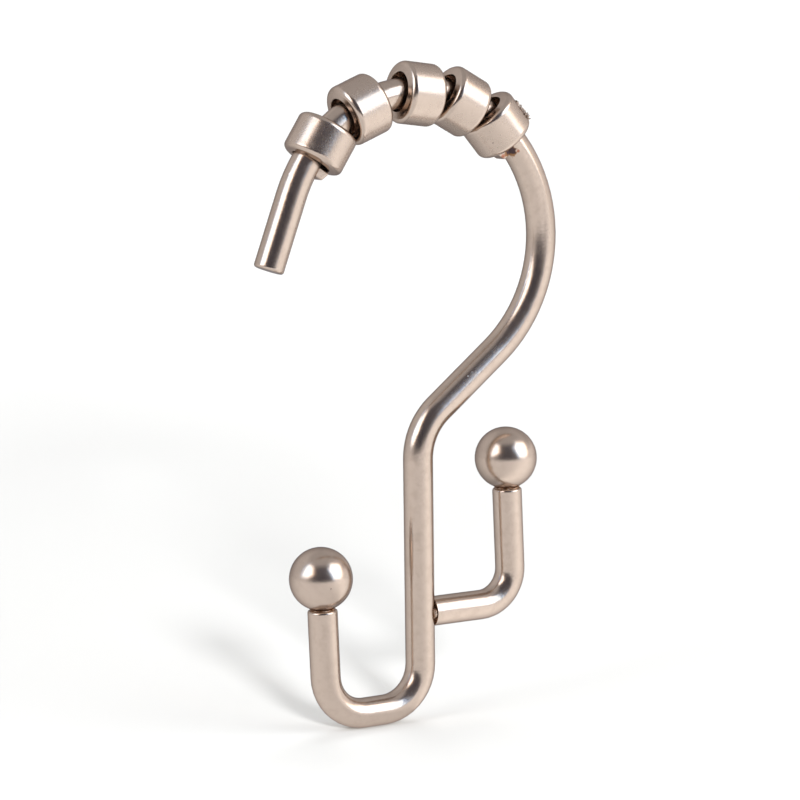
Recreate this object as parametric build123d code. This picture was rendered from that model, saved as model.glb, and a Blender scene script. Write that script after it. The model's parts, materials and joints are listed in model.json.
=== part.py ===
from build123d import *
import math
import os

# Double roller hook that carries a curtain and its liner on one rod.
# The origin is on the rod's axis, at the centre of the round top. X runs from the open tip side to
# the liner side, Y along the rod and Z up. The wire is bent in the XZ plane.
# Lengths are in millimetres and angles in degrees.

# wire
wire_diameter = 3.8
wire_end_rounding = 0.35

# main hook, from the open tip over the rod and down to the curtain's side
rod_bend_radius = 18.6
tip_angle = 159.5  # where the round top ends on the tip side, anticlockwise from +X
tip_length = 9.6
diagonal_angle = 51.5  # where the round top ends on the shank side, below +X
neck_bend_radius = 8.0
rod_to_bottom = 59.25  # rod axis to the wire's centre line at the lowest run
curtain_hook_width = 13.75  # shank to riser, between centre lines
curtain_bend_radius = 5.4
curtain_riser_length = 8.75
curtain_riser_lean = 2.0  # away from the shank

# liner arm, a second wire whose end is welded to the shank
liner_arm_rise = 11.9  # above the main hook's lowest run
liner_hook_width = 13.55
liner_bend_radius = 4.45
liner_riser_length = 10.3
liner_riser_lean = 2.0  # towards the shank
arm_weld_depth = 0.25  # how far the arm's flat end has melted into the round shank

# balls welded on both riser ends
ball_diameter = 8.0
ball_weld_depth = 0.1

# rollers threaded on the round top, counted from the tip side
roller_diameter = 7.85
roller_length = 5.2  # over the lips of the bore
roller_end_fall = 0.2  # how much further in an end face lies at its outside than at the lip
roller_edge_radius = 0.7
roller_play = 0.6  # radial, between the wire and the bore
roller_mouth_radius = 0.12
roller_drop = 0.14  # how far the rollers hang in from where the curved wire is centred in the bore
first_roller_angle = 136.4
roller_gaps = (0.2, 1.65, 0.3, 0.35)  # between the roundings of neighbours' inner edges
roller_tilts = (0.88, -0.22, -0.56, -0.74, -0.83)  # share of what the play allows, positive to the shank

# stop nubs staked out of the wire's inner side, one past each end roller
stop_height = 1.2
stop_length = 1.3
stop_width = 2.2
stop_taper = 0.65  # height of the far end as a share of the stop's height
stop_edge_radius = 0.25
stop_gap = 0.2

wire_radius = wire_diameter / 2
ball_radius = ball_diameter / 2
roller_radius = roller_diameter / 2
bore_radius = wire_radius + roller_play


def direction(angle):
    return Vector(math.cos(math.radians(angle)), 0, math.sin(math.radians(angle)))


def bend_path(start, heading, legs):
    # each leg is a straight run and the bend that follows it: length, bend radius, turn to the left
    edges = []
    for length, radius, turn in legs:
        edges.append(Line(start, start + direction(heading) * length))
        start = start + direction(heading) * length
        if turn:
            to_centre = heading + math.copysign(90, turn)
            centre = start + direction(to_centre) * radius
            middle = centre - direction(to_centre + turn / 2) * radius
            end = centre - direction(to_centre + turn) * radius
            edges.append(ThreePointArc(start, middle, end))
            start = end
            heading += turn
    return edges, start, heading


def round_wire(start, heading, legs):
    edges, end, end_heading = bend_path(start, heading, legs)
    section = Plane(origin=start, z_dir=direction(heading)) * Circle(wire_radius)
    return sweep(section, path=Wire(edges)), end, end_heading


def round_end(wire, end):
    face = wire.faces().sort_by_distance(end)[0]
    return fillet(face.edges(), wire_end_rounding)


def half_bore():
    return roller_length / 2 - roller_mouth_radius


def side_fall(side_radius):
    # how far one side of the round top falls away along half a bore
    return side_radius - math.sqrt(side_radius**2 - half_bore()**2)


def roller_reach():
    # distance of a roller's middle from the rod's axis
    return rod_bend_radius - side_fall(rod_bend_radius - wire_radius) / 2 - roller_drop


def roller_tilt_limit():
    # the tilt at which a roller's bore first touches the outer side of the curved wire
    room = roller_play + roller_reach() - rod_bend_radius + side_fall(rod_bend_radius + wire_radius)
    return math.degrees(math.asin(room / half_bore()))


def roller_end_slope():
    return roller_end_fall / (roller_radius - bore_radius)


def inner_edge(tilt, side):
    # centre of the inner end rounding of a roller whose middle is at angle 0, on the shank's side (1)
    # or the tip's (-1): its angle and its distance from the rod's axis
    out = roller_radius - roller_edge_radius
    slope = roller_end_slope()
    along = roller_length / 2 - (out - bore_radius) * slope - roller_edge_radius * math.hypot(1, slope)
    centre = direction(0) * roller_reach() - direction(tilt) * out + direction(tilt - 90) * along * side
    return math.degrees(math.atan2(centre.Z, centre.X)), math.hypot(centre.X, centre.Z)


def roller_places():
    # angle of each roller's middle on the round top, and its tilt
    tilts = [share * roller_tilt_limit() for share in roller_tilts]
    angles = [first_roller_angle]
    for i, gap in enumerate(roller_gaps):
        (angle, reach), (next_angle, next_reach) = inner_edge(tilts[i], 1), inner_edge(tilts[i + 1], -1)
        apart = 2 * roller_edge_radius + gap
        cosine = (reach**2 + next_reach**2 - apart**2) / (2 * reach * next_reach)
        angles.append(angles[-1] + angle - next_angle - math.degrees(math.acos(cosine)))
    return list(zip(angles, tilts))


def roller_plane(angle, tilt):
    centre = direction(angle) * roller_reach()
    return Plane(origin=centre, x_dir=direction(angle + tilt), z_dir=direction(angle + tilt - 90))


def roller():
    half, outer_half = roller_length / 2, roller_length / 2 - roller_end_fall
    outline = Polyline((bore_radius, -half), (roller_radius, -outer_half), (roller_radius, outer_half),
                       (bore_radius, half), close=True)
    profile = make_face(Plane.XZ * outline)
    inner = profile.vertices().sort_by(Axis.X)[:2]
    profile = fillet(inner, roller_mouth_radius)
    outer = profile.vertices().group_by(Axis.X)[-1]
    profile = fillet(outer, roller_edge_radius)
    return revolve(profile, Axis.Z)


def stop_nub(place, away):
    # past the given roller, tall towards it and lower away from it; away is 1 on the tip side
    angle, tilt = place
    edge_angle, edge_reach = inner_edge(tilt, -away)
    clear = math.degrees(math.asin((roller_edge_radius + stop_gap) / edge_reach))
    foot = angle + edge_angle + away * clear
    near = (0, wire_radius + stop_height)
    far = (stop_length, wire_radius + stop_height * stop_taper)
    outline = make_face(Polyline((0, 0), near, far, (stop_length, 0), close=True))
    nub = extrude(outline, stop_width / 2, both=True)
    nub = fillet(nub.edges().group_by(Axis.Y)[1:], stop_edge_radius)
    root = Plane(origin=direction(foot) * rod_bend_radius, x_dir=direction(foot + away * 90),
                 z_dir=Vector(0, -away, 0))
    return root.location * nub


def hook_wire():
    start_heading = tip_angle - 90
    tip = direction(tip_angle) * rod_bend_radius - direction(start_heading) * tip_length
    slope = math.radians(diagonal_angle)
    across = rod_bend_radius * math.cos(slope) - neck_bend_radius * (1 - math.cos(slope))
    diagonal_length = across / math.sin(slope)
    fall = (rod_bend_radius + neck_bend_radius) * math.sin(slope) + diagonal_length * math.cos(slope)
    wire, end, end_heading = round_wire(tip, start_heading, [
        (tip_length, rod_bend_radius, -tip_angle - diagonal_angle),
        (diagonal_length, neck_bend_radius, diagonal_angle),
        (rod_to_bottom - curtain_bend_radius - fall, curtain_bend_radius, -90),
        (curtain_hook_width - 2 * curtain_bend_radius, curtain_bend_radius, curtain_riser_lean - 90),
        (curtain_riser_length, 0, 0),
    ])
    wire = round_end(round_end(wire, tip), end)
    places = roller_places()
    return wire + stop_nub(places[0], 1) + stop_nub(places[-1], -1), end, end_heading


def liner_arm():
    weld = Vector(wire_radius - arm_weld_depth, 0, liner_arm_rise - rod_to_bottom)
    arm, end, end_heading = round_wire(weld, 0, [
        (liner_hook_width - weld.X - liner_bend_radius, liner_bend_radius, 90 + liner_riser_lean),
        (liner_riser_length, 0, 0),
    ])
    shank = Pos(0, 0, weld.Z) * Cylinder(wire_radius, 2 * wire_diameter)
    return round_end(arm, end) - shank, end, end_heading


def ball(seat, heading):
    # a flat on the ball lies on the flat end of the riser
    outward = direction(heading)
    sphere = Pos(seat + outward * (ball_radius - ball_weld_depth)) * Sphere(ball_radius)
    return split(sphere, bisect_by=Plane(origin=seat, z_dir=outward), keep=Keep.TOP)


def main():
    parts = {}
    parts["hook_wire"], curtain_end, curtain_heading = hook_wire()
    parts["liner_arm"], liner_end, liner_heading = liner_arm()
    parts["curtain_ball"] = ball(curtain_end, curtain_heading)
    parts["liner_ball"] = ball(liner_end, liner_heading)
    for number, (angle, tilt) in enumerate(roller_places(), 1):
        parts[f"roller_{number}"] = roller_plane(angle, tilt).location * roller()
    os.makedirs("parts", exist_ok=True)
    for name, shape in parts.items():
        export_step(shape, f"parts/{name}.step")


main()
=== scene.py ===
import json
import math

import bpy
from mathutils import Matrix, Vector


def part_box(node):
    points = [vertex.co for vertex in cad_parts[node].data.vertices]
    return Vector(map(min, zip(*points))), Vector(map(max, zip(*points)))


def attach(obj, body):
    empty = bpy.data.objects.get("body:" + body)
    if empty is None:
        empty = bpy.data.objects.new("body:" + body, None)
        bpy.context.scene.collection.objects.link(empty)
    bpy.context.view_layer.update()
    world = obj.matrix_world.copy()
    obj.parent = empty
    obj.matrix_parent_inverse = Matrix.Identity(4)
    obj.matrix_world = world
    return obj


# Double curtain hook in satin nickel, standing on a pale sweep in a small photo studio.
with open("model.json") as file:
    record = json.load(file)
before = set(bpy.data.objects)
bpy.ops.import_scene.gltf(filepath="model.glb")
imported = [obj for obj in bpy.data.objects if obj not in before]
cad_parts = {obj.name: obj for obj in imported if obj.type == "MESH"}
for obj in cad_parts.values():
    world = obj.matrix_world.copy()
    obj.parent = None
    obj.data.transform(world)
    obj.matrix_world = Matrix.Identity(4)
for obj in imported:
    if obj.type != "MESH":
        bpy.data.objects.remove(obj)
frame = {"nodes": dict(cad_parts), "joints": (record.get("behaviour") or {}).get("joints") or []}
bpy.context.view_layer.update()

mm = 0.001
slack = 1e-5  # metres, for picking vertices by their place
white = (1, 1, 1, 1)
rodAxis = Vector((0, 1, 0))
upAxis = Vector((0, 0, 1))

cameraView = {
    "aim": (-0.002507, 0.0, -0.019829),
    "azimuth": -29.875,  # degrees, 0 looks along +Y
    "elevation": 8.005,
    "roll": -0.714,
    "distance": 0.3743,
    "lens": 134.2,
}

azimuth = math.radians(cameraView["azimuth"])
cameraSide = Vector((math.sin(azimuth), -math.cos(azimuth), 0))  # level, towards the camera
rightSide = Vector((math.cos(azimuth), math.sin(azimuth), 0))
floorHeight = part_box("hook_wire")[0].z


def makeCamera():
    elevation = math.radians(cameraView["elevation"])
    roll = math.radians(cameraView["roll"])
    back = cameraSide * math.cos(elevation) + upAxis * math.sin(elevation)
    up = back.cross(rightSide)
    across = rightSide * math.cos(roll) + up * math.sin(roll)
    upright = up * math.cos(roll) - rightSide * math.sin(roll)
    place = Vector(cameraView["aim"]) + back * cameraView["distance"]
    bpy.ops.object.camera_add(location=place)
    camera = bpy.context.object
    camera.name = "photoCamera"
    turn = Matrix((across, upright, back)).transposed()
    camera.matrix_world = Matrix.Translation(place) @ turn.to_4x4()
    camera.data.lens = cameraView["lens"]
    bpy.context.scene.camera = camera


def newTree(data):
    data.use_nodes = True
    data.node_tree.nodes.clear()
    return data.node_tree


def node(tree, kind, **settings):
    made = tree.nodes.new(kind)
    for name, value in settings.items():
        setattr(made, name, value)
    return made


def feed(tree, socket, value):
    # a socket takes either another node's output or a plain value
    if isinstance(value, bpy.types.NodeSocket):
        tree.links.new(value, socket)
    else:
        socket.default_value = value


def calc(tree, operation, a, b=0.0):
    made = node(tree, "ShaderNodeMath", operation=operation)
    feed(tree, made.inputs[0], a)
    feed(tree, made.inputs[1], b)
    return made.outputs[0]


def vector(tree, operation, a, b=None, output="Vector", scale=None):
    made = node(tree, "ShaderNodeVectorMath", operation=operation)
    feed(tree, made.inputs[0], a)
    if b is not None:
        feed(tree, made.inputs[1], b)
    if scale is not None:
        feed(tree, made.inputs["Scale"], scale)
    return made.outputs[output]


def xyz(tree, value):
    made = node(tree, "ShaderNodeSeparateXYZ")
    feed(tree, made.inputs[0], value)
    return made.outputs


def smooth(tree, value, low, high, toLow=0.0, toHigh=1.0):
    made = node(tree, "ShaderNodeMapRange", interpolation_type="SMOOTHSTEP")
    for name, given in (("Value", value), ("From Min", low), ("From Max", high),
                        ("To Min", toLow), ("To Max", toHigh)):
        feed(tree, made.inputs[name], given)
    return made.outputs["Result"]


def linear(tree, value, low, high):
    made = node(tree, "ShaderNodeMapRange")
    for name, given in (("Value", value), ("From Min", low), ("From Max", high)):
        feed(tree, made.inputs[name], given)
    return made.outputs["Result"]


def mixValue(tree, factor, a, b):
    # a Mix node keeps its sockets for numbers at 2 and 3, and those for colours at 6 and 7
    made = node(tree, "ShaderNodeMix", data_type="FLOAT")
    for socket, given in zip(made.inputs[0:1] + made.inputs[2:4], (factor, a, b)):
        feed(tree, socket, given)
    return made.outputs[0]


def mixColour(tree, factor, a, b):
    made = node(tree, "ShaderNodeMix", data_type="RGBA")
    for socket, given in zip(made.inputs[0:1] + made.inputs[6:8], (factor, a, b)):
        feed(tree, socket, given)
    return made.outputs[2]


def newGroup(name, inputs, outputs):
    group = bpy.data.node_groups.new(name, "ShaderNodeTree")
    for title, kind, default in inputs:
        socket = group.interface.new_socket(name=title, in_out="INPUT", socket_type=kind)
        if default is not None:
            socket.default_value = default
    for title, kind in outputs:
        group.interface.new_socket(name=title, in_out="OUTPUT", socket_type=kind)
    return group, group.nodes.new("NodeGroupInput"), group.nodes.new("NodeGroupOutput")


def use(tree, group, values):
    made = node(tree, "ShaderNodeGroup", node_tree=group)
    for name, value in values.items():
        feed(tree, made.inputs[name], value)
    return made.outputs


def degreesRound(tree, ray):
    # the ray's angle round the upright, from the camera's side towards its right
    parts = [vector(tree, "DOT_PRODUCT", ray, axis, "Value") for axis in (rightSide, cameraSide)]
    return calc(tree, "DEGREES", calc(tree, "ARCTAN2", *parts))


rampTop = 2.0  # the brightest that a ramp below can give, since its own colours end at 1


def aroundRamp(tree, turn, stops):
    # stops are (degrees from the camera's side towards its right, brightness)
    made = node(tree, "ShaderNodeValToRGB")
    made.color_ramp.interpolation = "B_SPLINE"
    marks = made.color_ramp.elements
    while len(marks) < len(stops):
        marks.new(0.5)
    for mark, (angle, level) in zip(marks, stops):
        mark.position = (angle + 180) / 360
        mark.color = (level / rampTop,) * 3 + (1,)
    feed(tree, made.inputs[0], linear(tree, turn, -180, 180))
    return calc(tree, "MULTIPLY", made.outputs[0], rampTop)


# pale paper that rises behind the hook and fades to white far off, as the camera sees it
sweep = {
    "front": 0.75,  # metres from the object to the paper's near edge
    "halfWidth": 1.6,
    "bendStart": 0.9,  # behind the object
    "bendRadius": 0.6,
    "bendAngle": 70,  # degrees, and then straight on up
    "bendSteps": 16,
    "rise": 0.6,
    "colour": (0.580, 0.567, 0.521, 1),
    "roughness": 0.9,
    "reflectedColour": (0.15, 0.15, 0.15, 1),
    "glow": 0.0,  # near the hook, as the camera sees it
    "farGlow": 0.46,
    "glowReach": (0.10, 0.75),  # metres from the hook where the glow starts and where it is full
    "mirroredHeight": 0.05,  # metres up the paper at which the metal sees only the room
    # brightness that the metal sees, by degrees round from the camera's side towards its right
    "reflected": [(-180, 0.16), (-158, 0.30), (-120, 0.44), (-68, 0.80), (0, 0.58), (45, 0.80),
                  (78, 1.30), (115, 0.90), (158, 0.36), (180, 0.16)],
}


def sweepMaterial():
    material = bpy.data.materials.new("sweepPaper")
    material.cycles.emission_sampling = "NONE"
    tree = newTree(material)
    path = node(tree, "ShaderNodeLightPath")
    seen, mirrored = path.outputs["Is Camera Ray"], path.outputs["Is Glossy Ray"]
    spot = node(tree, "ShaderNodeTexCoord").outputs["Object"]
    reflected = aroundRamp(tree, degreesRound(tree, spot), sweep["reflected"])
    mirroredGlow = calc(tree, "MULTIPLY", mirrored, reflected)
    away = vector(tree, "LENGTH", spot, output="Value")
    paleness = smooth(tree, away, *sweep["glowReach"], sweep["glow"], sweep["farGlow"])
    glow = calc(tree, "ADD", mirroredGlow, calc(tree, "MULTIPLY", seen, paleness))
    paper = node(tree, "ShaderNodeBsdfPrincipled")
    shade = mixColour(tree, mirrored, sweep["colour"], sweep["reflectedColour"])
    feed(tree, paper.inputs["Base Color"], shade)
    feed(tree, paper.inputs["Roughness"], sweep["roughness"])
    feed(tree, paper.inputs["Specular IOR Level"], 0.0)
    feed(tree, paper.inputs["Emission Color"], white)
    feed(tree, paper.inputs["Emission Strength"], glow)
    clear = node(tree, "ShaderNodeBsdfTransparent")
    # the camera sees through the paper from behind, and the metal mirrors only the level part of it
    behind = node(tree, "ShaderNodeNewGeometry").outputs["Backfacing"]
    raised = smooth(tree, xyz(tree, spot)[2], floorHeight, floorHeight + sweep["mirroredHeight"])
    behind, raised = calc(tree, "MULTIPLY", behind, seen), calc(tree, "MULTIPLY", raised, mirrored)
    hidden = calc(tree, "ADD", behind, raised)
    mix = node(tree, "ShaderNodeMixShader")
    for socket, given in zip(mix.inputs, (hidden, paper.outputs[0], clear.outputs[0])):
        feed(tree, socket, given)
    output = node(tree, "ShaderNodeOutputMaterial")
    tree.links.new(mix.outputs[0], output.inputs[0])
    return material


def selectWhere(mesh, test):
    # in edit mode: picks the vertices whose place passes the test, and nothing else
    bpy.ops.mesh.select_all(action="DESELECT")
    bpy.ops.object.mode_set(mode="OBJECT")
    for vertex in mesh.vertices:
        vertex.select = test(vertex.co)
    bpy.ops.object.mode_set(mode="EDIT")
    bpy.ops.mesh.select_mode(type="VERT")


def makeSweep():
    bpy.ops.object.select_all(action="DESELECT")
    depth = sweep["front"] + sweep["bendStart"]
    bpy.ops.mesh.primitive_plane_add(size=1, location=(0, 0, 0))
    paper = bpy.context.object
    paper.name = "paperSweep"
    paper.scale = (2 * sweep["halfWidth"], depth, 1)
    paper.location = (0, sweep["bendStart"] - depth / 2, 0)
    bpy.ops.object.transform_apply(location=True, scale=True)
    back = sweep["bendStart"]
    bend = math.radians(sweep["bendAngle"])
    bpy.ops.object.mode_set(mode="EDIT")
    selectWhere(paper.data, lambda co: co.y > back - slack)
    bpy.ops.mesh.spin(steps=sweep["bendSteps"], angle=bend, axis=(-1, 0, 0),
                      center=(0, back, sweep["bendRadius"]))
    up = (0, math.cos(bend) * sweep["rise"], math.sin(bend) * sweep["rise"])
    bpy.ops.mesh.extrude_region_move(TRANSFORM_OT_translate={"value": up})
    bpy.ops.mesh.select_all(action="SELECT")
    bpy.ops.mesh.normals_make_consistent(inside=False)
    bpy.ops.object.mode_set(mode="OBJECT")
    bpy.ops.object.shade_smooth()
    paper.rotation_euler = (0, 0, azimuth)
    paper.location = (0, 0, floorHeight)
    bpy.ops.object.transform_apply(location=True, rotation=True)
    # an open sheet may come out face down
    if paper.data.polygons[0].normal.z < 0:
        paper.data.flip_normals()
    paper.data.materials.append(sweepMaterial())


# the lamps light the paper and cast the shadows, and the metal doesn't mirror them
lamps = {
    # azimuth from the camera towards its right, elevation, distance, size, watts
    "keyLamp": {"azimuth": 15.5, "elevation": 19.5, "distance": 0.8, "size": 0.11, "power": 9.6},
    "leftFill": {"azimuth": -52, "elevation": 30, "distance": 0.6, "size": 0.28, "power": 0.9},
    "rightFill": {"azimuth": 70, "elevation": 26, "distance": 0.6, "size": 0.30, "power": 0.8},
    "backFill": {"azimuth": 172, "elevation": 52, "distance": 0.55, "size": 0.30, "power": 1.3},
}
# lamps and room are a little blue and the paper is as much warmer, so that it looks neutral
lampTint = (0.90, 0.92, 1.0)
lampAim = 0.02  # metres above the floor


def makeLamps():
    aim = upAxis * (floorHeight + lampAim)
    for name, lamp in lamps.items():
        turn, rise = math.radians(lamp["azimuth"]), math.radians(lamp["elevation"])
        level = cameraSide * math.cos(turn) + rightSide * math.sin(turn)
        towards = level * math.cos(rise) + upAxis * math.sin(rise)
        bpy.ops.object.light_add(type="AREA", location=aim + towards * lamp["distance"])
        light = bpy.context.object
        light.name = name
        light.rotation_euler = towards.to_track_quat("Z", "Y").to_euler()
        light.data.shape = "SQUARE"
        light.data.size = lamp["size"]
        light.data.energy = lamp["power"]
        light.data.color = lampTint
        light.visible_camera = False
        light.visible_glossy = False


# the room that the metal mirrors: walls, ceiling and two soft boxes, and dark behind the camera
room = {
    "ceiling": 0.52,
    "low": 11,  # degrees up to which the walls keep their low brightness
    "high": 25,  # degrees from which they have their higher one
    "top": (48, 64),  # where the walls turn into the ceiling
    "fringe": 1.2,  # degrees that red and blue part at a soft box's edges
    "softEdge": 2.5,
    "boxTint": (0.95, 1.0, 1.10),
    "haze": (0.006, 0.003, 0.024),  # cool light that the dark side still gives
}
# degrees round from the camera's side towards its right, brightness low down, brightness higher up
walls = [
    (-180, 0.34, 0.50),
    (-156, 0.52, 0.64),
    (-115, 0.66, 0.76),
    (-82, 0.84, 0.62),
    (-52, 0.66, 0.34),
    (-28, 0.03, 0.09),
    (45, 0.02, 0.07),
    (72, 1.00, 0.74),
    (125, 1.18, 0.58),
    (150, 0.84, 0.60),
    (165, 0.56, 0.64),
    (180, 0.34, 0.50),
]
# corners in degrees round and up, anticlockwise as seen on the ball
softBoxes = {
    "left": {"light": 2.9, "corners": [(-74, 11), (-50, 10), (-28, 24), (-35, 50), (-72, 55)]},
    "right": {"light": 3.2, "corners": [(50, 4), (83, 3), (104, 38), (68, 57), (37, 42)]},
}


def softBox(tree, turn, rise, corners):
    # inside every side of the box, with soft edges
    inside = 1.0
    for (startTurn, startRise), (endTurn, endRise) in zip(corners, corners[1:] + corners[:1]):
        side = Vector((endTurn - startTurn, endRise - startRise)).normalized()
        across = calc(tree, "MULTIPLY", calc(tree, "SUBTRACT", turn, startTurn), -side.y)
        along = calc(tree, "MULTIPLY", calc(tree, "SUBTRACT", rise, startRise), side.x)
        within = calc(tree, "ADD", across, along)
        inside = calc(tree, "MULTIPLY", smooth(tree, within, -room["softEdge"], room["softEdge"]), inside)
    return inside


def makeRoom():
    world = bpy.context.scene.world or bpy.data.worlds.new("studioRoom")
    bpy.context.scene.world = world
    tree = newTree(world)
    ray = node(tree, "ShaderNodeTexCoord").outputs["Generated"]
    turn = degreesRound(tree, ray)
    rise = calc(tree, "DEGREES", calc(tree, "ARCSINE", xyz(tree, ray)[2]))
    low, high = [aroundRamp(tree, turn, [(wall[0], wall[level]) for wall in walls]) for level in (1, 2)]
    level = mixValue(tree, smooth(tree, rise, room["low"], room["high"]), low, high)
    level = mixValue(tree, smooth(tree, rise, *room["top"]), level, room["ceiling"])
    channels = []
    for share, tint, haze in zip((1, 0, -1), room["boxTint"], room["haze"]):
        shifted = calc(tree, "SUBTRACT", turn, share * room["fringe"])
        channel = calc(tree, "ADD", level, haze)
        for box in softBoxes.values():
            inside = softBox(tree, shifted, rise, box["corners"])
            channel = mixValue(tree, inside, channel, box["light"] * tint)
        channels.append(channel)
    colour = node(tree, "ShaderNodeCombineColor")
    for socket, channel in zip(colour.inputs, channels):
        feed(tree, socket, channel)
    # the camera itself sees plain white past the paper
    seen = node(tree, "ShaderNodeLightPath").outputs["Is Camera Ray"]
    background = node(tree, "ShaderNodeBackground")
    feed(tree, background.inputs["Color"], mixColour(tree, seen, colour.outputs[0], white))
    output = node(tree, "ShaderNodeOutputWorld")
    tree.links.new(background.outputs[0], output.inputs[0])


# finishes: the same satin nickel plate on every piece
nickel = {
    "colour": (0.58, 0.47, 0.388, 1),
    "worn": (0.50, 0.395, 0.32, 1),
    "edgeTint": (0.52, 0.48, 0.48, 1),
}
# scales are per metre and depths in metres; wear is how far the mottling goes to the worn colour
wireFinish = {"roughness": 0.22, "spread": 0.05, "grain": 3400, "grainDepth": 7e-6, "ripple": 330,
              "rippleDepth": 1.5e-5, "wear": 0.35}
ballFinish = {"roughness": 0.235, "spread": 0.03, "grain": 3400, "grainDepth": 6e-6, "ripple": 420,
              "rippleDepth": 5e-6, "wear": 0.22}
rollerFinish = {"roughness": 0.20, "spread": 0.05, "grain": 3400, "grainDepth": 6e-6, "ripple": 420,
                "rippleDepth": 9e-6, "wear": 0.30}
weldFinish = {"roughness": 0.34, "spread": 0.12, "grain": 2600, "grainDepth": 4e-5, "ripple": 900,
              "rippleDepth": 5e-5, "wear": 1.0}
# the ripple has little detail, and the mottling is finer than it by the given factor
mottling = {"rippleDetail": 1.0, "finer": 2.7, "detail": 4.0, "roughness": 0.62, "range": (0.40, 0.68)}
# fine lines run along a roller's side and blur what it mirrors, round its axis
drawnSide = {
    "fineness": 2200,
    "detail": 3.0,
    "roughness": 0.6,
    "stretch": 0.05,  # the lines are 20 times as long as they are wide
    "dulling": 0.07,
    "blur": 0.52,
    "blurTurn": 0.25,  # of a full turn, from the axis to round it
    "sideDulling": 0.03,
    "halfLength": (0.0017, 0.0021),  # where the lines end, before the end rounding
}
# a pit's radius is a share of its cell, and share says how many of the cells have one
pitting = {"scale": 420, "radius": 0.03, "share": 0.05, "depth": 8e-6}
# colours of the marks: heat tint, copper, dirt, painted shade and painted glints
tarnishAndPaintedLight = {
    "heat": {"colour": (0.30, 0.155, 0.075, 1), "roughness": 0.34},
    "copper": {"colour": (0.42, 0.19, 0.12, 1), "roughness": 0.42},
    # near black: real dirt on the ball and a roller, and painted shade by the last stop nub on the wire
    "dirtAndShade": {"colour": (0.085, 0.055, 0.055, 1), "roughness": 0.55},
    # painted glints
    "paintedGlint": {"colour": (0.95, 0.90, 0.86, 1), "roughness": 0.55},
}
spotEdge = {"scale": 2600, "detail": 2.0, "uneven": 0.9}
# marks on a piece: kind, centre and radius in millimetres, how far the edge fades
wireMarks = [
    ("heat", (13.2, -1.5, 10.6), 0.92, 0.25),
    # the dark spot by the last stop nub is painted shade of the gap between the roller's bore and the
    # wire
    ("dirtAndShade", (13.25, -1.6, 10.7), 0.74, 0.30),
    ("copper", (12.3, -1.15, 10.15), 0.42, 0.6),
    ("copper", (14.15, -1.75, 10.75), 0.26, 0.5),
    # the pale spots are painted glints on the wire
    ("paintedGlint", (6.52, -1.62, -17.31), 0.07, 0.5),
    ("paintedGlint", (7.12, -1.62, -16.84), 0.05, 0.5),
    ("paintedGlint", (-17.9, -0.9, 9.2), 0.30, 0.9),
]
ballMarks = [("dirtAndShade", (-14.90, -3.89, -41.92), 0.10, 0.8)]
rollerMarks = [("dirtAndShade", (9.83, -2.72, 12.00), 0.10, 0.5)]
# a die line on the wire, in metres, and in degrees up from the level round the rod's axis
scoreLine = {
    "side": -0.00158,
    "halfWidth": 0.00006,
    "angles": (2, 8, 30, 38),  # starts, is full, fades, ends
    "outside": 0.0188,  # from the rod's axis, so that only the outer half of the wire has it
    "depth": 2.0e-5,
}


def noise(tree, position, scale, detail=2.0, roughness=0.5):
    made = node(tree, "ShaderNodeTexNoise")
    for name, value in (("Vector", position), ("Scale", scale), ("Detail", detail),
                        ("Roughness", roughness)):
        feed(tree, made.inputs[name], value)
    return made.outputs["Fac"]


def skinGroup():
    # grain, slow ripple and mottling of a plated surface
    group, given, made = newGroup(
        "platedSkin",
        [("Position", "NodeSocketVector", None), ("Grain", "NodeSocketFloat", 3000),
         ("Grain Depth", "NodeSocketFloat", 0), ("Ripple", "NodeSocketFloat", 300),
         ("Ripple Depth", "NodeSocketFloat", 0), ("Extra Height", "NodeSocketFloat", 0)],
        [("Normal", "NodeSocketVector"), ("Mottle", "NodeSocketFloat")])
    spot, ripple = given.outputs["Position"], given.outputs["Ripple"]
    grain = noise(group, spot, given.outputs["Grain"])
    swell = noise(group, spot, ripple, mottling["rippleDetail"])
    fine = calc(group, "MULTIPLY", grain, given.outputs["Grain Depth"])
    slow = calc(group, "MULTIPLY", swell, given.outputs["Ripple Depth"])
    height = calc(group, "ADD", calc(group, "ADD", fine, slow), given.outputs["Extra Height"])
    bump = node(group, "ShaderNodeBump")
    bump.inputs["Distance"].default_value = 1.0
    group.links.new(height, bump.inputs["Height"])
    group.links.new(bump.outputs[0], made.inputs["Normal"])
    cloudScale = calc(group, "MULTIPLY", ripple, mottling["finer"])
    cloud = noise(group, spot, cloudScale, mottling["detail"], mottling["roughness"])
    group.links.new(smooth(group, cloud, *mottling["range"]), made.inputs["Mottle"])
    return group


def streakGroup():
    # fine lines along a roller's side, none on its ends
    group, given, made = newGroup(
        "axisStreaks",
        [("Position", "NodeSocketVector", None), ("Centre", "NodeSocketVector", None),
         ("Axis", "NodeSocketVector", None), ("Fineness", "NodeSocketFloat", 2000),
         ("Stretch", "NodeSocketFloat", 0.05)],
        [("Height", "NodeSocketFloat"), ("Side", "NodeSocketFloat")])
    offset = vector(group, "SUBTRACT", given.outputs["Position"], given.outputs["Centre"])
    along = vector(group, "DOT_PRODUCT", offset, given.outputs["Axis"], "Value")
    lengthwise = vector(group, "SCALE", given.outputs["Axis"], scale=along)
    crosswise = vector(group, "SUBTRACT", offset, lengthwise)
    squeezed = vector(group, "SCALE", lengthwise, scale=given.outputs["Stretch"])
    lines = noise(group, vector(group, "ADD", crosswise, squeezed), given.outputs["Fineness"],
                  drawnSide["detail"], drawnSide["roughness"])
    side = smooth(group, calc(group, "ABSOLUTE", along), *drawnSide["halfLength"], 1.0, 0.0)
    group.links.new(calc(group, "MULTIPLY", lines, side), made.inputs["Height"])
    group.links.new(side, made.inputs["Side"])
    return group


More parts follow.
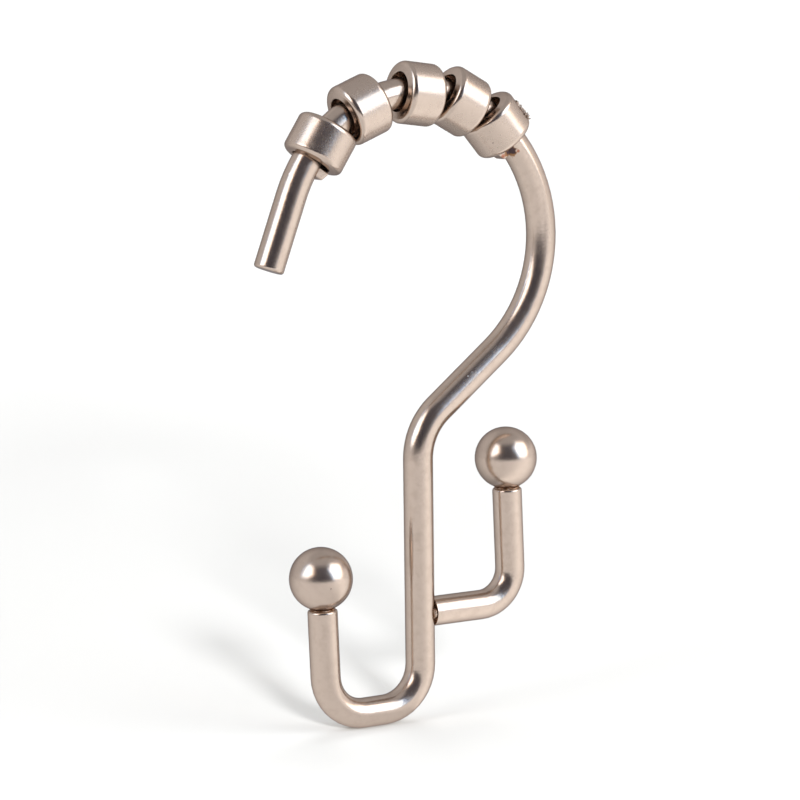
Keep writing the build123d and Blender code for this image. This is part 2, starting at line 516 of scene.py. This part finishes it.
def pitGroup():
    # scattered round pits of uneven size
    group, given, made = newGroup(
        "smallPits",
        [("Position", "NodeSocketVector", None), ("Scale", "NodeSocketFloat", 400),
         ("Radius", "NodeSocketFloat", 0.04), ("Share", "NodeSocketFloat", 0.1)],
        [("Mask", "NodeSocketFloat")])
    cells = node(group, "ShaderNodeTexVoronoi")
    group.links.new(given.outputs["Position"], cells.inputs["Vector"])
    group.links.new(given.outputs["Scale"], cells.inputs["Scale"])
    picked = node(group, "ShaderNodeSeparateColor")
    group.links.new(cells.outputs["Color"], picked.inputs[0])
    chosen = calc(group, "LESS_THAN", picked.outputs[0], given.outputs["Share"])
    size = calc(group, "MULTIPLY", picked.outputs[1], given.outputs["Radius"])
    near = smooth(group, cells.outputs["Distance"], 0.0, size, 1.0, 0.0)
    group.links.new(calc(group, "MULTIPLY", near, chosen), made.inputs["Mask"])
    return group


def markGroup():
    # a spot with an uneven edge
    group, given, made = newGroup(
        "unevenSpot",
        [("Position", "NodeSocketVector", None), ("Centre", "NodeSocketVector", None),
         ("Radius", "NodeSocketFloat", 0.001), ("Fade", "NodeSocketFloat", 0.5)],
        [("Mask", "NodeSocketFloat")])
    apart = vector(group, "DISTANCE", given.outputs["Position"], given.outputs["Centre"], "Value")
    share = calc(group, "DIVIDE", apart, given.outputs["Radius"])
    rough = noise(group, given.outputs["Position"], spotEdge["scale"], spotEdge["detail"])
    rough = calc(group, "SUBTRACT", rough, 0.5)
    share = calc(group, "ADD", share, calc(group, "MULTIPLY", rough, spotEdge["uneven"]))
    inner = calc(group, "SUBTRACT", 1.0, given.outputs["Fade"])
    group.links.new(smooth(group, share, inner, 1.0, 1.0, 0.0), made.inputs["Mask"])
    return group


platedSkin, axisStreaks, smallPits, unevenSpot = skinGroup(), streakGroup(), pitGroup(), markGroup()


def scoreHeight(tree, spot):
    # a die line along the wire's outer side, below the last roller
    place = xyz(tree, spot)
    offset = calc(tree, "ABSOLUTE", calc(tree, "SUBTRACT", place[1], scoreLine["side"]))
    line = smooth(tree, offset, 0.0, scoreLine["halfWidth"], 1.0, 0.0)
    angle = calc(tree, "DEGREES", calc(tree, "ARCTAN2", place[2], place[0]))
    start, full, fade, end = scoreLine["angles"]
    line = calc(tree, "MULTIPLY", line, smooth(tree, angle, start, full))
    line = calc(tree, "MULTIPLY", line, smooth(tree, angle, fade, end, 1.0, 0.0))
    fromAxis = vector(tree, "LENGTH", vector(tree, "MULTIPLY", spot, (1, 0, 1)), output="Value")
    outside = calc(tree, "GREATER_THAN", fromAxis, scoreLine["outside"])
    return calc(tree, "MULTIPLY", calc(tree, "MULTIPLY", line, outside), -scoreLine["depth"])


def drawn(tree, metal, spot, joint):
    # sets the blur along the roller's own axis and gives the roughness that its lines add
    streaks = use(tree, axisStreaks, {"Position": spot, "Centre": joint["pos_m"], "Axis": joint["axis"],
                                      "Fineness": drawnSide["fineness"], "Stretch": drawnSide["stretch"]})
    along = node(tree, "ShaderNodeVectorTransform", vector_type="VECTOR", convert_from="OBJECT",
                 convert_to="WORLD")
    along.inputs[0].default_value = joint["axis"]
    tree.links.new(along.outputs[0], metal.inputs["Tangent"])
    metal.inputs["Anisotropic"].default_value = drawnSide["blur"]
    metal.inputs["Anisotropic Rotation"].default_value = drawnSide["blurTurn"]
    lines = calc(tree, "MULTIPLY", streaks["Height"], drawnSide["dulling"])
    return calc(tree, "ADD", lines, calc(tree, "MULTIPLY", streaks["Side"], drawnSide["sideDulling"]))


def plated(name, finish, marks=(), joint=None, extra=None):
    material = bpy.data.materials.new(name)
    tree = newTree(material)
    spot = node(tree, "ShaderNodeTexCoord").outputs["Object"]
    pits = use(tree, smallPits, {"Position": spot, "Scale": pitting["scale"], "Radius": pitting["radius"],
                                 "Share": pitting["share"]})["Mask"]
    height = calc(tree, "MULTIPLY", pits, -pitting["depth"])
    if extra:
        height = calc(tree, "ADD", height, extra(tree, spot))
    skin = use(tree, platedSkin, {"Position": spot, "Grain": finish["grain"],
                                  "Grain Depth": finish["grainDepth"], "Ripple": finish["ripple"],
                                  "Ripple Depth": finish["rippleDepth"], "Extra Height": height})
    wear = calc(tree, "MULTIPLY", skin["Mottle"], finish["wear"])
    colour = mixColour(tree, wear, nickel["colour"], nickel["worn"])
    uneven = calc(tree, "MULTIPLY", skin["Mottle"], finish["spread"])
    roughness = calc(tree, "ADD", uneven, finish["roughness"] - finish["spread"] / 2)
    metal = node(tree, "ShaderNodeBsdfPrincipled")
    if joint:
        roughness = calc(tree, "ADD", roughness, drawn(tree, metal, spot, joint))
    for kind, centre, radius, fade in marks:
        mask = use(tree, unevenSpot, {"Position": spot, "Centre": [c * mm for c in centre],
                                      "Radius": radius * mm, "Fade": fade})["Mask"]
        colour = mixColour(tree, mask, colour, tarnishAndPaintedLight[kind]["colour"])
        roughness = mixValue(tree, mask, roughness, tarnishAndPaintedLight[kind]["roughness"])
    metal.inputs["Metallic"].default_value = 1.0
    metal.inputs["Specular Tint"].default_value = nickel["edgeTint"]
    feed(tree, metal.inputs["Base Color"], colour)
    feed(tree, metal.inputs["Roughness"], roughness)
    feed(tree, metal.inputs["Normal"], skin["Normal"])
    output = node(tree, "ShaderNodeOutputMaterial")
    tree.links.new(metal.outputs[0], output.inputs[0])
    return material


def dress(names, material):
    for name in names:
        frame["nodes"][name].data.materials.clear()
        frame["nodes"][name].data.materials.append(material)


def applyAll(piece):
    for modifier in list(piece.modifiers):
        bpy.ops.object.modifier_apply(modifier=modifier.name)


cloudStep = 0.01  # metres that one step of a seed moves a piece within the cloud pattern
cloudDepth = 3


def ragged(piece, name, size, strength, seed):
    # a cloud pattern pushes the surface in and out, after the modifiers that the piece already has
    clouds = bpy.data.textures.new(name, "CLOUDS")
    clouds.noise_scale = size * mm
    clouds.noise_depth = cloudDepth
    push = piece.modifiers.new("ragged", "DISPLACE")
    push.texture = clouds
    push.texture_coords = "LOCAL"
    push.strength = strength * mm
    push.mid_level = 0.5
    piece.location = Vector(seed) * cloudStep
    bpy.ops.object.transform_apply(location=True)
    applyAll(piece)
    piece.location = Vector(seed) * -cloudStep
    bpy.ops.object.transform_apply(location=True)


# what welding left in the seams, in mm: a lumpy bead in each, brown from the heat
beads = {
    # half the seam's height and width, how far the bead reaches from the seam either way, lump height
    "curtainWeld": {"radii": (1.36, 1.36), "reach": (-0.12, 0.20), "lumps": 0.26, "seed": (3, 1, 4)},
    "linerWeld": {"radii": (1.42, 1.42), "reach": (-0.12, 0.24), "lumps": 0.34, "seed": (7, 2, 9)},
    "armWeld": {"radii": (0.86, 1.66), "reach": (-0.55, 0.04), "lumps": 0.24, "seed": (5, 8, 2)},
}
beadShape = {
    "sides": 40,
    # each ring's share of the bead's reach, and its width against the ring before
    "rings": [(0.3, 1.12), (0.25, 1.04), (0.25, 0.94), (0.2, 0.84)],
    "rounding": 2,
    "lumpSize": 0.55,
    "heat": (2.4, 0.6),  # radius of the brown around the seam, and how far it fades
}
riserLean = 2  # degrees, both risers lean towards the open tip
ballWeldDepth = 0.1
nearlyUpright = 0.9  # share of a direction that points up


def makeBead(name, seat, outward):
    # rings drawn out of the seam and swelling in the middle, then roughened
    bead = beads[name]
    low, high = bead["reach"]
    bpy.ops.object.select_all(action="DESELECT")
    bpy.ops.mesh.primitive_circle_add(vertices=beadShape["sides"], radius=mm, fill_type="NGON")
    piece = bpy.context.object
    piece.name = name
    bpy.ops.object.mode_set(mode="EDIT")
    for share, width in beadShape["rings"]:
        step = (0, 0, share * (high - low) * mm)
        bpy.ops.mesh.extrude_region_move(TRANSFORM_OT_translate={"value": step})
        bpy.ops.transform.resize(value=(width, width, 1))
    bpy.ops.mesh.select_all(action="SELECT")
    bpy.ops.mesh.normals_make_consistent(inside=False)
    bpy.ops.object.mode_set(mode="OBJECT")
    halfHeight, halfWidth = bead["radii"]
    piece.scale = (halfWidth, halfHeight, 1)
    piece.location = (0, 0, low * mm)
    bpy.ops.object.transform_apply(location=True, scale=True)
    rounded = piece.modifiers.new("rounded", "SUBSURF")
    rounded.levels = beadShape["rounding"]
    ragged(piece, name + "Lumps", beadShape["lumpSize"], bead["lumps"], bead["seed"])
    if abs(outward.z) < nearlyUpright:
        turn = outward.to_track_quat("Z", "Y")
    else:
        turn = upAxis.rotation_difference(outward)
    piece.rotation_euler = turn.to_euler()
    piece.location = seat
    bpy.ops.object.transform_apply(location=True, rotation=True)
    bpy.ops.object.shade_smooth()
    return piece


def ballSeat(name, outward):
    # the ball is cut flat where it sits, so its centre is a radius below its top
    low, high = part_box(name)
    radius = (high.y - low.y) / 2
    centre = Vector(((low.x + high.x) / 2, 0, high.z - radius))
    return centre - outward * (radius - ballWeldDepth * mm)


def makeBeads():
    lean = math.radians(riserLean)
    outward = Vector((-math.sin(lean), 0, math.cos(lean)))
    armLow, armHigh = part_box("liner_arm")
    wireRadius = (armHigh.y - armLow.y) / 2
    armSeat = Vector((armLow.x, 0, armLow.z + wireRadius))
    for name, seat, facing in (("curtainWeld", ballSeat("curtain_ball", outward), outward),
                               ("linerWeld", ballSeat("liner_ball", outward), outward),
                               ("armWeld", armSeat, Vector((1, 0, 0)))):
        piece = makeBead(name, seat, facing)
        brown = ("heat", [c / mm for c in seat], *beadShape["heat"])
        piece.data.materials.append(plated(name + "Skin", weldFinish, [brown]))
        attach(piece, "hook")


# torn plating along the last roller's side, in mm and degrees
burr = {
    "roller": 5,
    "along": 0.55,  # from the roller's middle towards the shank
    "round": 27,  # from the roller's outer side towards the camera
    "length": 3.1,
    "width": 1.4,
    "thickness": 0.05,
    "ragged": 1.15,
    "ragSize": 0.2,
    "seed": (2, 6, 4),
    "grid": (90, 40),
    "taperFrom": (0.92, 0.76),  # shares of the half length past which the ends narrow
    "taper": 0.5,
    "sharpAngle": 35,
}


def makeBurr():
    joint = [j for j in frame["joints"] if j["child"] == f"roller_{burr['roller']}"][0]
    axis, centre = Vector(joint["axis"]), Vector(joint["pos_m"])
    low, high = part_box(joint["child"])
    radius = (high.y - low.y) / 2
    bpy.ops.object.select_all(action="DESELECT")
    columns, rows = burr["grid"]
    bpy.ops.mesh.primitive_grid_add(x_subdivisions=columns, y_subdivisions=rows, size=mm)
    piece = bpy.context.object
    piece.name = "rimBurr"
    piece.scale = (burr["length"], burr["width"], 1)
    bpy.ops.object.transform_apply(scale=True)
    bpy.ops.object.mode_set(mode="EDIT")
    half = burr["length"] / 2 * mm
    for share in burr["taperFrom"]:
        selectWhere(piece.data, lambda co: abs(co.x) > share * half)
        bpy.ops.transform.resize(value=(1, burr["taper"], 1), center_override=(0, 0, 0))
    bpy.ops.object.mode_set(mode="OBJECT")
    turn = math.radians(burr["round"])
    across = rodAxis.cross(axis)
    if across.dot(centre) < 0:
        across = -across
    outward = across * math.cos(turn) - rodAxis * math.sin(turn)
    basis = Matrix((axis, outward.cross(axis), outward)).transposed()
    middle = centre + axis * burr["along"] * mm + outward * radius
    piece.matrix_world = Matrix.Translation(middle) @ basis.to_4x4()
    bpy.ops.object.transform_apply(location=True, rotation=True)
    laid = piece.modifiers.new("laid", "SHRINKWRAP")
    laid.target = frame["nodes"][joint["child"]]
    applyAll(piece)
    # the hollows sink into the roller and the crests stand up as flakes
    ragged(piece, "rimRags", burr["ragSize"], burr["ragged"], burr["seed"])
    thick = piece.modifiers.new("thick", "SOLIDIFY")
    thick.thickness = burr["thickness"] * mm
    thick.offset = 0
    applyAll(piece)
    bpy.ops.object.shade_smooth_by_angle(angle=math.radians(burr["sharpAngle"]))
    piece.data.materials.append(plated("burrSkin", rollerFinish))
    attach(piece, joint["child"])


bpy.context.scene.view_settings.view_transform = "Standard"
makeCamera()
makeSweep()
makeLamps()
makeRoom()
print("studio ready")

dress(["hook_wire", "liner_arm"], plated("satinWire", wireFinish, wireMarks, extra=scoreHeight))
dress(["curtain_ball", "liner_ball"], plated("polishedBall", ballFinish, ballMarks))
for joint in frame["joints"]:
    name = joint["child"]
    dress([name], plated(f"turned_{name}", rollerFinish, rollerMarks, joint))
print("metal dressed")
makeBeads()
makeBurr()
print("weld beads and burr added")

bpy.context.view_layer.update()
